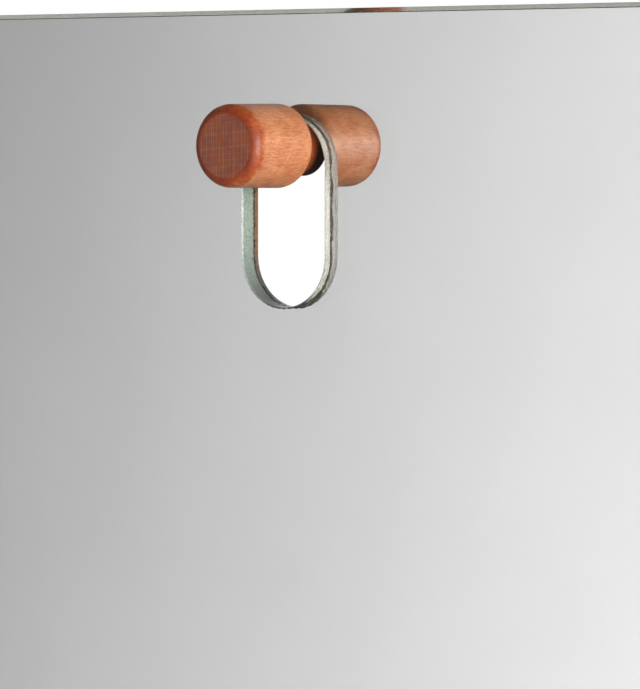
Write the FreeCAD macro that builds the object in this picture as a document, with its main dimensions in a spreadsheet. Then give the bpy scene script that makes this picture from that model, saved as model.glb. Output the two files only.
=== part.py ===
# Wall mirror that hangs by a slot on a turned wooden peg.
# The origin is where the peg's axis meets the wall. X points right, Y into the wall and Z up.
# Sizes are millimetres.
import math
import os

import FreeCAD
import Part
import Sketcher
from FreeCAD import Placement, Rotation, Vector

doc = FreeCAD.newDocument("wall_mirror")
sizes = doc.addObject("Spreadsheet::Sheet", "Sizes")

# Driving sizes
driving_sizes = [
    ("glass_width", 400, "mirror sheet, left to right"),
    ("glass_height", 600, "mirror sheet, top to bottom"),
    ("glass_thickness", 6, "float glass"),
    ("bridge_height", 35, "glass left above the slot"),
    ("corner_radius", 2, "eased corners of the sheet"),
    ("bevel_height", 1.5, "polished bevel, as the front shows it"),
    ("bevel_depth", 2, "polished bevel, into the thickness of the sheet"),
    ("slot_arris", 0.4, "ground arris round the slot"),
    ("silver_thickness", 0.1, "silver coat and paint"),
    ("film_thickness", 0.3, "bonding film"),
    ("board_thickness", 2, "hardboard"),
    ("board_inset", 2, "board kept back from the outer edge"),
    ("felt_thickness", 3.2, "pads behind the board"),
    ("felt_diameter", 20, "pads behind the board"),
    ("felt_inset", 35, "pad centre from the board's edges"),
    ("barrel_diameter", 28, "barrel at its rear"),
    ("barrel_taper", 0.6, "barrel diameter lost towards the front"),
    ("barrel_length", 31, "barrel, front to rear"),
    ("front_round", 3.5, "rounding of the barrel's front"),
    ("rear_flat", 0.5, "flat ring left between rear rounding and neck"),
    ("neck_diameter", 20, "neck that carries the mirror"),
    ("neck_ease", 0.6, "chamfer of the neck's wall end"),
    ("barrel_gap", 0.4, "barrel's rear to the glass"),
    ("hang_gap", 0.3, "arch of the slot over the neck"),
    ("pass_gap", 3, "slot wall to the barrel on each side"),
    ("lift_travel", 43.4, "mirror's way up until the slot's foot meets the neck"),
    ("insert_diameter", 11, "brass insert"),
    ("insert_length", 13, "brass insert"),
    ("insert_recess", 1, "insert below the neck's wall end"),
    ("insert_fit", 0.05, "insert to the bore in the wood"),
    ("bore_room", 2, "bore left beyond the insert's front end"),
    ("driver_slot", 1.6, "width of the slot across the insert's wall end"),
    ("driver_depth", 1.8, "depth of the slot across the insert's wall end"),
    ("thread_radius", 3.6, "thread of the bolt at mid flank"),
    ("thread_play", 0.3, "bolt to insert, across both sides"),
    ("bolt_end_room", 1.5, "bore left beyond the bolt's front end"),
    ("bolt_point_length", 8, "point of the bolt"),
    ("bolt_ease", 0.8, "chamfer of the bolt's front end"),
    ("plug_diameter", 10, "hole drilled in the wall"),
    ("plug_length", 50, "nylon plug"),
    ("plug_fit", 0.05, "plug bore to the bolt"),
    ("plug_end", 5, "plug that reaches past the bolt's point"),
    ("plug_tip", 10, "end of the plug that the slit leaves whole"),
    ("plug_slit", 1.4, "slit between the legs of the plug"),
    ("plug_collar", 10, "plug left whole at the wall's face"),
]

# Sizes that follow from the driving ones, depths being counted from the wall
derived_sizes = [
    ("board_back", "felt_thickness", "rear of the board"),
    ("board_front", "board_back + board_thickness", "front of the board"),
    ("film_front", "board_front + film_thickness", "front of the film"),
    ("glass_back", "film_front + silver_thickness", "rear of the glass"),
    ("glass_front", "glass_back + glass_thickness", "front of the glass"),
    ("neck_length", "glass_front + barrel_gap", "wall to the barrel's rear"),
    ("peg_length", "neck_length + barrel_length", "wall to the barrel's front"),
    ("neck_radius", "neck_diameter / 2", "neck"),
    ("rear_radius", "barrel_diameter / 2", "barrel's rear"),
    ("front_radius", "(barrel_diameter - barrel_taper) / 2", "barrel's front before rounding"),
    ("rear_round", "rear_radius - neck_radius - rear_flat", "rounding of the barrel's rear"),
    ("slot_radius", "rear_radius + pass_gap", "both ends of the slot"),
    ("arch_top", "neck_radius + hang_gap", "highest point of the slot"),
    ("arch_drop", "slot_radius - arch_top", "centre of the slot's arch below the peg's axis"),
    ("slot_straight", "2 * arch_top + lift_travel - 2 * slot_radius", "straight side of the slot"),
    ("glass_top", "arch_top + bridge_height", "top of the sheet above the peg's axis"),
    ("pad_reach", "glass_width / 2 - board_inset - felt_inset", "pad centre from the middle"),
    ("pad_high", "glass_top - board_inset - felt_inset", "upper pads"),
    ("pad_low", "glass_top - glass_height + board_inset + felt_inset", "lower pads"),
    ("insert_radius", "insert_diameter / 2", "insert"),
    ("insert_front", "insert_recess + insert_length", "insert's front end"),
    ("insert_bore", "thread_radius + thread_play / 2", "bore of the insert"),
    ("bore_radius", "insert_radius + insert_fit", "bore in the peg"),
    ("bore_depth", "insert_front + bore_room", "bore in the peg"),
    ("bolt_radius", "thread_radius - thread_play / 2", "bolt"),
    ("bolt_face", "bolt_radius - bolt_ease", "flat of the bolt's front end"),
    ("bolt_front", "bore_depth - bolt_end_room", "bolt's front end"),
    ("bolt_shoulder", "bolt_front - bolt_ease", "rear of the bolt's front chamfer"),
    ("bolt_back", "plug_length - plug_end", "tip of the bolt's point"),
    ("point_root", "bolt_back - bolt_point_length", "where the bolt's point begins"),
    ("plug_radius", "plug_diameter / 2", "plug"),
    ("plug_bore", "bolt_radius + plug_fit", "bore of the plug"),
    ("slit_end", "plug_length - plug_tip", "far end of the plug's slit"),
]
formulas = [(alias, "=" + formula, meaning) for alias, formula, meaning in derived_sizes]
for row, (alias, content, meaning) in enumerate(driving_sizes + formulas, start=1):
    sizes.set("A%d" % row, alias)
    sizes.set("B%d" % row, str(content))
    sizes.set("C%d" % row, meaning)
    sizes.setAlias("B%d" % row, alias)
doc.recompute()


# Distance within which two places count as one
touch = 0.01


def size(alias):
    return float(sizes.get(alias))


def formula(alias):
    return "Sizes." + alias


def origin_plane(body, role):
    for feature in body.Origin.OriginFeatures:
        if feature.Role == role:
            return feature
    raise ValueError("no plane " + role)


def new_body(name):
    body = doc.addObject("PartDesign::Body", name)
    body.Label = name
    return body


def new_sketch(body, name, role):
    sketch = body.newObject("Sketcher::SketchObject", name)
    sketch.AttachmentSupport = (origin_plane(body, role), [""])
    sketch.MapMode = "FlatFace"
    return sketch


def dimension(sketch, constraint, name, expression):
    index = sketch.addConstraint(constraint)
    sketch.renameConstraint(index, name)
    sketch.setExpression("Constraints." + name, expression)


# Rectangle that is symmetrical about the sketch's upright axis, with its start, right, far and left sides
def rectangle(sketch, half, start, far):
    corners = [Vector(-half, start, 0), Vector(half, start, 0), Vector(half, far, 0), Vector(-half, far, 0)]
    sides = []
    for corner, following in zip(corners, corners[1:] + corners[:1]):
        sides.append(sketch.addGeometry(Part.LineSegment(corner, following)))
    for side, following in zip(sides, sides[1:] + sides[:1]):
        sketch.addConstraint(Sketcher.Constraint("Coincident", side, 2, following, 1))
    start_side, right_side, far_side, left_side = sides
    sketch.addConstraint(Sketcher.Constraint("Vertical", right_side))
    sketch.addConstraint(Sketcher.Constraint("Horizontal", far_side))
    sketch.addConstraint(Sketcher.Constraint("Vertical", left_side))
    sketch.addConstraint(Sketcher.Constraint("Symmetric", start_side, 1, start_side, 2, -2))
    return sides


# Outline shared by the glass, the silvering, the film and the board: a rectangle with a round-ended slot
def slotted_outline(body, name, inset):
    sketch = new_sketch(body, name, "XZ_Plane")
    half = size("glass_width") / 2
    top = size("glass_top")
    foot = top - size("glass_height")
    foot_side, right_side, top_side, left_side = rectangle(sketch, half, foot, top)
    dimension(sketch, Sketcher.Constraint("DistanceX", foot_side, 1, foot_side, 2, 2 * half), "width",
              formula("glass_width") + " - 2 * " + inset)
    dimension(sketch, Sketcher.Constraint("DistanceY", right_side, 1, right_side, 2, top - foot), "height",
              formula("glass_height") + " - 2 * " + inset)
    dimension(sketch, Sketcher.Constraint("DistanceY", -1, 1, top_side, 1, top), "top",
              formula("glass_top") + " - " + inset)
    radius = size("slot_radius")
    upper = -size("arch_drop")
    lower = upper - size("slot_straight")
    normal = Vector(0, 0, 1)
    upper_circle = Part.Circle(Vector(0, upper, 0), normal, radius)
    lower_circle = Part.Circle(Vector(0, lower, 0), normal, radius)
    arch = sketch.addGeometry(Part.ArcOfCircle(upper_circle, 0, math.pi))
    slot_left = sketch.addGeometry(Part.LineSegment(Vector(-radius, upper, 0), Vector(-radius, lower, 0)))
    slot_foot = sketch.addGeometry(Part.ArcOfCircle(lower_circle, math.pi, 2 * math.pi))
    slot_right = sketch.addGeometry(Part.LineSegment(Vector(radius, lower, 0), Vector(radius, upper, 0)))
    slot_pieces = [arch, slot_left, slot_foot, slot_right]
    for piece, following in zip(slot_pieces, slot_pieces[1:] + slot_pieces[:1]):
        sketch.addConstraint(Sketcher.Constraint("Tangent", piece, 2, following, 1))
    sketch.addConstraint(Sketcher.Constraint("Vertical", slot_left))
    sketch.addConstraint(Sketcher.Constraint("PointOnObject", arch, 3, -2))
    dimension(sketch, Sketcher.Constraint("Radius", arch, radius), "slot_radius", formula("slot_radius"))
    dimension(sketch, Sketcher.Constraint("DistanceY", arch, 3, -1, 1, -upper), "arch_drop",
              formula("arch_drop"))
    dimension(sketch, Sketcher.Constraint("DistanceY", slot_foot, 3, arch, 3, upper - lower), "slot_straight",
              formula("slot_straight"))
    doc.recompute()
    return sketch


# Sheet of one layer: its rear face lies at the given distance in front of the wall
def slotted_sheet(name, thickness, rear, inset):
    body = new_body(name)
    outline = slotted_outline(body, name + "_outline", inset)
    pad = body.newObject("PartDesign::Pad", name + "_sheet")
    pad.Profile = outline
    pad.setExpression("Length", formula(thickness))
    body.setExpression(".Placement.Base.y", "-" + formula(rear))
    doc.recompute()
    if pad.Shape.BoundBox.YMax > touch:
        pad.Reversed = True
        doc.recompute()
    return body, pad


def edges_where(feature, test):
    names = []
    for number, edge in enumerate(feature.Shape.Edges, start=1):
        if test(edge):
            names.append("Edge%d" % number)
    return names


# Edge that reaches the sheet's outer border, as the slot's edges never do
def on_border(feature, edge):
    sheet = feature.Shape.BoundBox
    box = edge.BoundBox
    reach = min(box.XMin - sheet.XMin, sheet.XMax - box.XMax, box.ZMin - sheet.ZMin, sheet.ZMax - box.ZMax)
    return reach < touch


def along_depth(edge):
    box = edge.BoundBox
    return box.YLength > touch and box.XLength < touch and box.ZLength < touch


def on_front(feature, edge):
    return edge.BoundBox.YMax < feature.Shape.BoundBox.YMin + touch


def round_corners(body, name, feature):
    fillet = body.newObject("PartDesign::Fillet", name)
    corners = edges_where(feature, lambda edge: along_depth(edge) and on_border(feature, edge))
    fillet.Base = (feature, corners)
    fillet.setExpression("Radius", formula("corner_radius"))
    doc.recompute()
    return fillet


def chamfer(body, name, feature, edges, width):
    cut = body.newObject("PartDesign::Chamfer", name)
    cut.Base = (feature, edges)
    cut.setExpression("Size", formula(width))
    doc.recompute()
    return cut


# Mirror glass: float glass, slot cut through, bevel polished round the front, arris ground round the slot
glass, glass_pad = slotted_sheet("mirror_glass", "glass_thickness", "glass_back", "0")
glass_round = round_corners(glass, "glass_corners", glass_pad)
border_edges = edges_where(
    glass_round, lambda edge: on_front(glass_round, edge) and on_border(glass_round, edge))
glass_bevel = chamfer(glass, "glass_bevel", glass_round, border_edges, "bevel_height")
glass_bevel.ChamferType = "Two distances"
glass_bevel.FlipDirection = True
glass_bevel.setExpression("Size2", formula("bevel_depth"))
doc.recompute()


def round_slot(edge):
    reach = size("slot_radius") + touch
    box = edge.BoundBox
    return box.XMin > -reach and box.XMax < reach


slot_edges = edges_where(glass_bevel, lambda edge: on_front(glass_bevel, edge) and round_slot(edge))
chamfer(glass, "glass_slot_arris", glass_bevel, slot_edges, "slot_arris")

# Silvering: the reflecting coat and its paint, over the whole back of the glass
silver, silver_pad = slotted_sheet("silvering", "silver_thickness", "film_front", "0")
round_corners(silver, "silver_corners", silver_pad)

# Bonding film: holds the board to the paint
film, film_pad = slotted_sheet("bonding_film", "film_thickness", "board_front", formula("board_inset"))
round_corners(film, "film_corners", film_pad)

# Backing board: hardboard, flush with the slot and kept back from the outer edge
board, board_pad = slotted_sheet("backing_board", "board_thickness", "board_back", formula("board_inset"))
round_corners(board, "board_corners", board_pad)

# Felt pads: one near each corner of the board, between board and wall
pads = []
for height in ("high", "low"):
    for side, sign in (("left", "-"), ("right", "")):
        felt = doc.addObject("Part::Cylinder", "felt_" + height + "_" + side)
        felt.Placement = Placement(Vector(0, 0, 0), Rotation(Vector(1, 0, 0), 90))
        felt.setExpression("Radius", formula("felt_diameter") + " / 2")
        felt.setExpression("Height", formula("felt_thickness"))
        felt.setExpression(".Placement.Base.x", sign + formula("pad_reach"))
        felt.setExpression(".Placement.Base.z", formula("pad_" + height))
        pads.append(felt)
felt_pads = doc.addObject("Part::Compound", "felt_pads")
felt_pads.Links = pads
felt_pads.Label = "felt_pads"
doc.recompute()


# Half section turned about the Y axis, with a name, a radius and a depth for each corner.
# A radius of None lies on the axis and a depth of None at the wall. A minus marks a depth before the wall.
def turned(name, corners):
    body = new_body(name)
    sketch = new_sketch(body, name + "_section", "XY_Plane")
    points = []
    for label, radius, depth in corners:
        ahead = depth is not None and depth.startswith("-")
        along = size(depth.lstrip("-")) if depth else 0
        points.append(Vector(size(radius) if radius else 0, -along if ahead else along, 0))
    sides = []
    for point, following in zip(points, points[1:] + points[:1]):
        sides.append(sketch.addGeometry(Part.LineSegment(point, following)))
    for side, following in zip(sides, sides[1:] + sides[:1]):
        sketch.addConstraint(Sketcher.Constraint("Coincident", side, 2, following, 1))
    for side, point, (label, radius, depth) in zip(sides, points, corners):
        if radius is None:
            sketch.addConstraint(Sketcher.Constraint("PointOnObject", side, 1, -2))
        else:
            dimension(sketch, Sketcher.Constraint("DistanceX", -1, 1, side, 1, point.x),
                      label + "_radius", formula(radius))
        if depth is None:
            sketch.addConstraint(Sketcher.Constraint("PointOnObject", side, 1, -1))
        elif depth.startswith("-"):
            dimension(sketch, Sketcher.Constraint("DistanceY", side, 1, -1, 1, -point.y),
                      label + "_ahead", formula(depth.lstrip("-")))
        else:
            dimension(sketch, Sketcher.Constraint("DistanceY", -1, 1, side, 1, point.y),
                      label + "_behind", formula(depth))
    doc.recompute()
    solid = body.newObject("PartDesign::Revolution", name + "_turned")
    solid.Profile = sketch
    solid.ReferenceAxis = (sketch, ["V_Axis"])
    solid.Angle = 360
    doc.recompute()
    return body, solid


def circle_at(feature, radius, along):
    def test(edge):
        circle = edge.Curve
        if not isinstance(circle, Part.Circle):
            return False
        return abs(circle.Radius - radius) < touch and abs(circle.Center.y - along) < touch
    return edges_where(feature, test)


def round_rim(body, name, feature, rim, radius):
    fillet = body.newObject("PartDesign::Fillet", name)
    fillet.Base = (feature, rim)
    fillet.setExpression("Radius", formula(radius))
    doc.recompute()
    return fillet


# Cut right through a turned piece, across its axis: a slot between two depths
def cross_cut(body, name, width, start, far, start_dimension, far_dimension):
    sketch = new_sketch(body, name + "_outline", "XY_Plane")
    half = size(width) / 2
    start_side, right_side, far_side, left_side = rectangle(sketch, half, start, far)
    dimension(sketch, Sketcher.Constraint("DistanceX", start_side, 1, start_side, 2, 2 * half), "cut_width",
              formula(width))
    bounds = [("start", start_side, start, start_dimension), ("far", far_side, far, far_dimension)]
    for label, side, place, expression in bounds:
        ends = (side, 1, -1, 1) if place < 0 else (-1, 1, side, 1)
        dimension(sketch, Sketcher.Constraint("DistanceY", *ends, abs(place)), label, expression)
    doc.recompute()
    pocket = body.newObject("PartDesign::Pocket", name)
    pocket.Profile = sketch
    pocket.Type = "ThroughAll"
    pocket.Midplane = True
    doc.recompute()


# Peg: one piece of beech, a slightly tapered barrel with rounded ends, a neck and a blind bore
peg, peg_turned = turned("peg", [
    ("tip", None, "-peg_length"),
    ("front_rim", "front_radius", "-peg_length"),
    ("rear_rim", "rear_radius", "-neck_length"),
    ("neck_root", "neck_radius", "-neck_length"),
    ("neck_end", "neck_radius", None),
    ("bore_mouth", "bore_radius", None),
    ("bore_floor", "bore_radius", "-bore_depth"),
    ("bore_centre", None, "-bore_depth"),
])
front_rim = circle_at(peg_turned, size("front_radius"), -size("peg_length"))
peg_front = round_rim(peg, "peg_front_round", peg_turned, front_rim, "front_round")
rear_rim = circle_at(peg_front, size("rear_radius"), -size("neck_length"))
peg_rear = round_rim(peg, "peg_rear_round", peg_front, rear_rim, "rear_round")
chamfer(peg, "peg_neck_ease", peg_rear, circle_at(peg_rear, size("neck_radius"), 0), "neck_ease")

# Thread insert: a brass sleeve with a driver slot across its wall end
insert, insert_turned = turned("thread_insert", [
    ("front_bore", "insert_bore", "-insert_front"),
    ("front_rim", "insert_radius", "-insert_front"),
    ("rear_rim", "insert_radius", "-insert_recess"),
    ("rear_bore", "insert_bore", "-insert_recess"),
])
cross_cut(insert, "insert_driver_slot", "driver_slot", -size("insert_recess"),
          -size("insert_recess") - size("driver_depth"), formula("insert_recess"),
          formula("insert_recess") + " + " + formula("driver_depth"))

# Hanger bolt: plain front end for the machine thread, long rear end with a point for the wood thread
bolt, bolt_turned = turned("hanger_bolt", [
    ("front_centre", None, "-bolt_front"),
    ("front_face", "bolt_face", "-bolt_front"),
    ("front_shoulder", "bolt_radius", "-bolt_shoulder"),
    ("point_root", "bolt_radius", "point_root"),
    ("point", None, "bolt_back"),
])

# Wall plug: a nylon sleeve, whole at both ends and slit into two legs between them
plug, plug_turned = turned("wall_plug", [
    ("mouth_bore", "plug_bore", None),
    ("mouth_rim", "plug_radius", None),
    ("end_rim", "plug_radius", "plug_length"),
    ("end_bore", "plug_bore", "plug_length"),
])
cross_cut(plug, "plug_leg_slit", "plug_slit", size("plug_collar"), size("slit_end"), formula("plug_collar"),
          formula("slit_end"))

# Check of every object, then one file for each piece
pieces = [glass, silver, film, board, felt_pads, peg, insert, bolt, plug]
for item in doc.Objects:
    if "Invalid" in item.State or "Error" in item.State:
        raise RuntimeError("failed: " + item.Name)
for piece in pieces:
    if piece.Shape.isNull() or not piece.Shape.isValid():
        raise RuntimeError("bad shape: " + piece.Label)
os.makedirs("parts", exist_ok=True)
for piece in pieces:
    piece.Shape.exportStep("parts/" + piece.Label + ".step")
    box = piece.Shape.BoundBox
    print(piece.Label, len(piece.Shape.Solids), round(piece.Shape.Volume, 1),
          [round(v, 2) for v in (box.XMin, box.XMax, box.YMin, box.YMax, box.ZMin, box.ZMax)])
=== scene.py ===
# Wall mirror on a turned beech peg, dressed for the camera.
# Metres, in the frame of the solids: the peg's axis meets the wall at the origin,
# Y goes into the wall and Z is up.
import math

import bmesh
import bpy
from mathutils import Matrix, Vector, noise


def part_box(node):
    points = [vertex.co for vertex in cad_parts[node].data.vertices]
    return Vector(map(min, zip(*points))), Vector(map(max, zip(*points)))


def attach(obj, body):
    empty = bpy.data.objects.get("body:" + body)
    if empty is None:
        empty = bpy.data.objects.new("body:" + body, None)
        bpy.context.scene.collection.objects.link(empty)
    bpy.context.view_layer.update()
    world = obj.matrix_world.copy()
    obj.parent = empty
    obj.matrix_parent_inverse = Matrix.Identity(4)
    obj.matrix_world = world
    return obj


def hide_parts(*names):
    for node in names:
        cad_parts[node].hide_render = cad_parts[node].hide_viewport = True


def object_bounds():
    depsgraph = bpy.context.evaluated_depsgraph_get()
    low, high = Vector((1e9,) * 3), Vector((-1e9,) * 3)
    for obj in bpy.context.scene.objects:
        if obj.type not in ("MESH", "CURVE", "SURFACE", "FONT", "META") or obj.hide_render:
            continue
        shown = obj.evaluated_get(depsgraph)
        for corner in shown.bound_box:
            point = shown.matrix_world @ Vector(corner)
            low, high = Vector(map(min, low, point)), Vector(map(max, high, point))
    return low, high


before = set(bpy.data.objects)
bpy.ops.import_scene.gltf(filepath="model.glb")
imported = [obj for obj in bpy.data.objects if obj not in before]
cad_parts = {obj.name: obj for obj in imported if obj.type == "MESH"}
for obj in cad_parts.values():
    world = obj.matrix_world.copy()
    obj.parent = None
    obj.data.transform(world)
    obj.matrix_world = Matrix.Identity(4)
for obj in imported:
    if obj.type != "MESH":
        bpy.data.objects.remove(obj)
cad_low, cad_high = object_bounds()

# Wall plug
# A moulded nylon sleeve, pushed into the drilled wall before anything else.
# Saw-tooth rings grip the hole, and a slit lets two legs spread when the bolt goes in.
mm = 0.001


def linear(colour):
    """sRGB hex such as #d28c5f as linear red, green, blue and alpha."""
    parts = [int(colour[i:i + 2], 16) / 255 for i in (1, 3, 5)]
    return [p / 12.92 if p <= 0.04045 else ((p + 0.055) / 1.055) ** 2.4 for p in parts] + [1.0]


def wire(tree, node, inputs):
    """Sets each input, by name or number, or links it to a socket or to a node's first output."""
    for key, value in inputs.items():
        if isinstance(key, int):
            socket = node.inputs[key]
        else:
            socket = next(s for s in node.inputs if s.enabled and s.name == key)
        if isinstance(value, bpy.types.Node):
            value = next(s for s in value.outputs if s.enabled)
        if isinstance(value, bpy.types.NodeSocket):
            tree.links.new(value, socket)
        else:
            socket.default_value = value


def add(tree, kind, inputs=None, stops=(), **settings):
    """Adds a node with its settings and inputs. Stops are the two (place, hex) colours of a ramp."""
    node = tree.nodes.new(kind)
    for name, value in settings.items():
        setattr(node, name, value)
    for number, (place, colour) in enumerate(stops):
        element = node.color_ramp.elements[number]
        element.position = place
        element.color = linear(colour)
    wire(tree, node, inputs or {})
    return node


def new_material(name):
    """Material with its tree, its shader and the object's own coordinates."""
    material = bpy.data.materials.new(name)
    material.use_nodes = True
    tree = material.node_tree
    place = add(tree, "ShaderNodeTexCoord").outputs["Object"]
    return material, tree, tree.nodes["Principled BSDF"], place


def new_tree(name, inputs):
    """Geometry tree with named number inputs, its input and its output node."""
    tree = bpy.data.node_groups.new(name, "GeometryNodeTree")
    for label, kind in inputs:
        tree.interface.new_socket(label, in_out="INPUT", socket_type=kind)
    tree.interface.new_socket("Geometry", in_out="OUTPUT", socket_type="NodeSocketGeometry")
    return tree, add(tree, "NodeGroupInput"), add(tree, "NodeGroupOutput")


def placed(name, mesh):
    """Puts a mesh into the scene as an object at the origin."""
    placed_object = bpy.data.objects.new(name, mesh)
    bpy.context.scene.collection.objects.link(placed_object)
    return placed_object


def grown(name, tree, values, material):
    """Runs a geometry tree with its named inputs and keeps the result as a plain mesh."""
    seed = placed(name + "_seed", bpy.data.meshes.new(name + "_seed"))
    modifier = seed.modifiers.new("grow", "NODES")
    modifier.node_group = tree
    for item in tree.interface.items_tree:
        if item.item_type == "SOCKET" and item.in_out == "INPUT" and item.name in values:
            modifier[item.identifier] = values[item.name]
    graph = bpy.context.evaluated_depsgraph_get()
    mesh = bpy.data.meshes.new_from_object(seed.evaluated_get(graph))
    bpy.data.objects.remove(seed)
    mesh.name = name
    mesh.materials.clear()
    mesh.materials.append(material)
    return placed(name, mesh)


# Mottled grey of moulded nylon, with the dull grain of the mould, drawn coarse enough to show.
nylon, tree, shader, place = new_material("moulded_nylon")
mottle = add(tree, "ShaderNodeTexNoise", {"Vector": place, "Scale": 1 / (4 * mm), "Detail": 3})
shade = add(tree, "ShaderNodeValToRGB", {"Fac": mottle}, stops=[(0.3, "#a4a6a3"), (0.7, "#bcbeba")])
grain = add(tree, "ShaderNodeTexNoise", {"Vector": place, "Scale": 1 / (0.4 * mm)})
bump = add(tree, "ShaderNodeBump", {"Height": grain, "Strength": 0.2, "Distance": 0.1 * mm})
wire(tree, shader, {"Base Color": shade, "Normal": bump, "Roughness": 0.42})

# The sleeve is built upright and then laid along Y. Its bore is far longer than it, to cut right through.
sleeve_tree, given, result = new_tree("ringed_sleeve", [
    ("Length", "NodeSocketFloat"), ("Root Radius", "NodeSocketFloat"), ("Crest Radius", "NodeSocketFloat"),
    ("Bore Radius", "NodeSocketFloat"), ("Rings", "NodeSocketInt"), ("First Ring", "NodeSocketFloat"),
    ("Pitch", "NodeSocketFloat"), ("Slit Size", "NodeSocketVector"), ("Slit Place", "NodeSocketVector")])
sleeve_segments = 48
tooth_share = 0.9
bore_depth = 1.0
root = given.outputs["Root Radius"]
crest = given.outputs["Crest Radius"]
hole = given.outputs["Bore Radius"]
pitch = given.outputs["Pitch"]
sleeve = add(sleeve_tree, "GeometryNodeMeshCone", {
    "Vertices": sleeve_segments, "Radius Top": root, "Radius Bottom": root,
    "Depth": given.outputs["Length"]})
tooth_height = add(sleeve_tree, "ShaderNodeMath", {0: pitch, 1: tooth_share}, operation="MULTIPLY")
tooth = add(sleeve_tree, "GeometryNodeMeshCone", {
    "Vertices": sleeve_segments, "Radius Top": root, "Radius Bottom": crest, "Depth": tooth_height})
start = add(sleeve_tree, "ShaderNodeCombineXYZ", {"Z": given.outputs["First Ring"]})
step = add(sleeve_tree, "ShaderNodeCombineXYZ", {"Z": pitch})
places = add(sleeve_tree, "GeometryNodeMeshLine", {
    "Count": given.outputs["Rings"], "Start Location": start, "Offset": step})
teeth = add(sleeve_tree, "GeometryNodeInstanceOnPoints", {"Points": places, "Instance": tooth})
teeth = add(sleeve_tree, "GeometryNodeRealizeInstances", {"Geometry": teeth})
ringed = add(sleeve_tree, "GeometryNodeMeshBoolean", {1: teeth}, operation="UNION", solver="EXACT")
wire(sleeve_tree, ringed, {1: sleeve})
bore = add(sleeve_tree, "GeometryNodeMeshCone", {
    "Vertices": sleeve_segments, "Radius Top": hole, "Radius Bottom": hole, "Depth": bore_depth})
bore = add(sleeve_tree, "GeometryNodeTransform", {"Geometry": bore, "Translation": (0, 0, -bore_depth / 2)})
slit = add(sleeve_tree, "GeometryNodeMeshCube", {"Size": given.outputs["Slit Size"]})
slit = add(sleeve_tree, "GeometryNodeTransform", {
    "Geometry": slit, "Translation": given.outputs["Slit Place"]})
hollow = add(sleeve_tree, "GeometryNodeMeshBoolean", {0: ringed, 1: bore},
             operation="DIFFERENCE", solver="EXACT")
wire(sleeve_tree, hollow, {1: slit})
turned = add(sleeve_tree, "GeometryNodeTransform", {"Geometry": hollow, "Rotation": (-math.pi / 2, 0, 0)})
real = add(sleeve_tree, "GeometryNodeRealizeInstances", {"Geometry": turned})
finished = add(sleeve_tree, "GeometryNodeSetMaterial", {"Geometry": real, "Material": nylon})
wire(sleeve_tree, result, {"Geometry": finished})

plug_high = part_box("wall_plug")[1]
ring_height = 0.7 * mm
plug_bore = 3.5 * mm
ring_count = 13
first_ring = 9 * mm
ring_pitch = 3 * mm
slit_width = 1.4 * mm
slit_span = 20 * mm
slit_length = 30 * mm
slit_start = 10 * mm
plug = grown("plug_sleeve", sleeve_tree, {
    "Length": plug_high.y, "Root Radius": plug_high.x - ring_height, "Crest Radius": plug_high.x,
    "Bore Radius": plug_bore, "Rings": ring_count, "First Ring": first_ring, "Pitch": ring_pitch,
    "Slit Size": (slit_width, slit_span, slit_length),
    "Slit Place": (0, 0, slit_start + slit_length / 2)}, nylon)
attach(plug, "wall_fixing")
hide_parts("wall_plug")

# Hanger bolt
# Zinc-plated steel, cut with a wood thread at one end, which screws into the plug.
# The machine thread at its other end stands out of the wall and takes the peg.

# Bright zinc, a little cloudy from the plating bath.
zinc, tree, shader, place = new_material("zinc_plated_steel")
cloud = add(tree, "ShaderNodeTexNoise", {"Vector": place, "Scale": 1 / (3 * mm), "Detail": 4})
shade = add(tree, "ShaderNodeValToRGB", {"Fac": cloud}, stops=[(0.35, "#a9adb0"), (0.65, "#c6c8c2")])
dull = add(tree, "ShaderNodeMapRange", {"Value": cloud, "To Min": 0.25, "To Max": 0.42})
wire(tree, shader, {"Base Color": shade, "Metallic": 1.0, "Roughness": dull})

# A four-sided ridge along a helix, half of it sunk in the core.
thread_tree, given, result = new_tree("helical_thread", [
    ("Turns", "NodeSocketFloat"), ("Length", "NodeSocketFloat"), ("Root Radius", "NodeSocketFloat"),
    ("Crest Radius", "NodeSocketFloat")])
steps_in_turn = 32
ridge_sides = 4
root = given.outputs["Root Radius"]
path = add(thread_tree, "GeometryNodeCurveSpiral", {
    "Resolution": steps_in_turn, "Rotations": given.outputs["Turns"], "Start Radius": root,
    "End Radius": root, "Height": given.outputs["Length"]})
depth = add(thread_tree, "ShaderNodeMath", {0: given.outputs["Crest Radius"], 1: root},
            operation="SUBTRACT")
ridge = add(thread_tree, "GeometryNodeCurvePrimitiveCircle", {"Resolution": ridge_sides, "Radius": depth})
thread = add(thread_tree, "GeometryNodeCurveToMesh", {
    "Curve": path, "Profile Curve": ridge, "Fill Caps": True})
laid = add(thread_tree, "GeometryNodeTransform", {"Geometry": thread, "Rotation": (-math.pi / 2, 0, 0)})
real = add(thread_tree, "GeometryNodeRealizeInstances", {"Geometry": laid})
finished = add(thread_tree, "GeometryNodeSetMaterial", {"Geometry": real, "Material": zinc})
wire(thread_tree, result, {"Geometry": finished})


def skin(bm, rings, segments):
    """Faces from each ring of points to the next. A ring of a single point closes an end."""
    faces = []
    for ring, following in zip(rings, rings[1:]):
        for number in range(segments):
            after = (number + 1) % segments
            corners = [ring[number % len(ring)], ring[after % len(ring)],
                       following[after % len(following)], following[number % len(following)]]
            faces.append(bm.faces.new(list(dict.fromkeys(corners))))
    return faces


def solid_piece(name, bm, materials):
    """Turns the faces of a closed shape outwards and puts it into the scene."""
    bmesh.ops.recalc_face_normals(bm, faces=bm.faces)
    mesh = bpy.data.meshes.new(name)
    for material in materials:
        mesh.materials.append(material)
    bm.to_mesh(mesh)
    bm.free()
    return placed(name, mesh)


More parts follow.
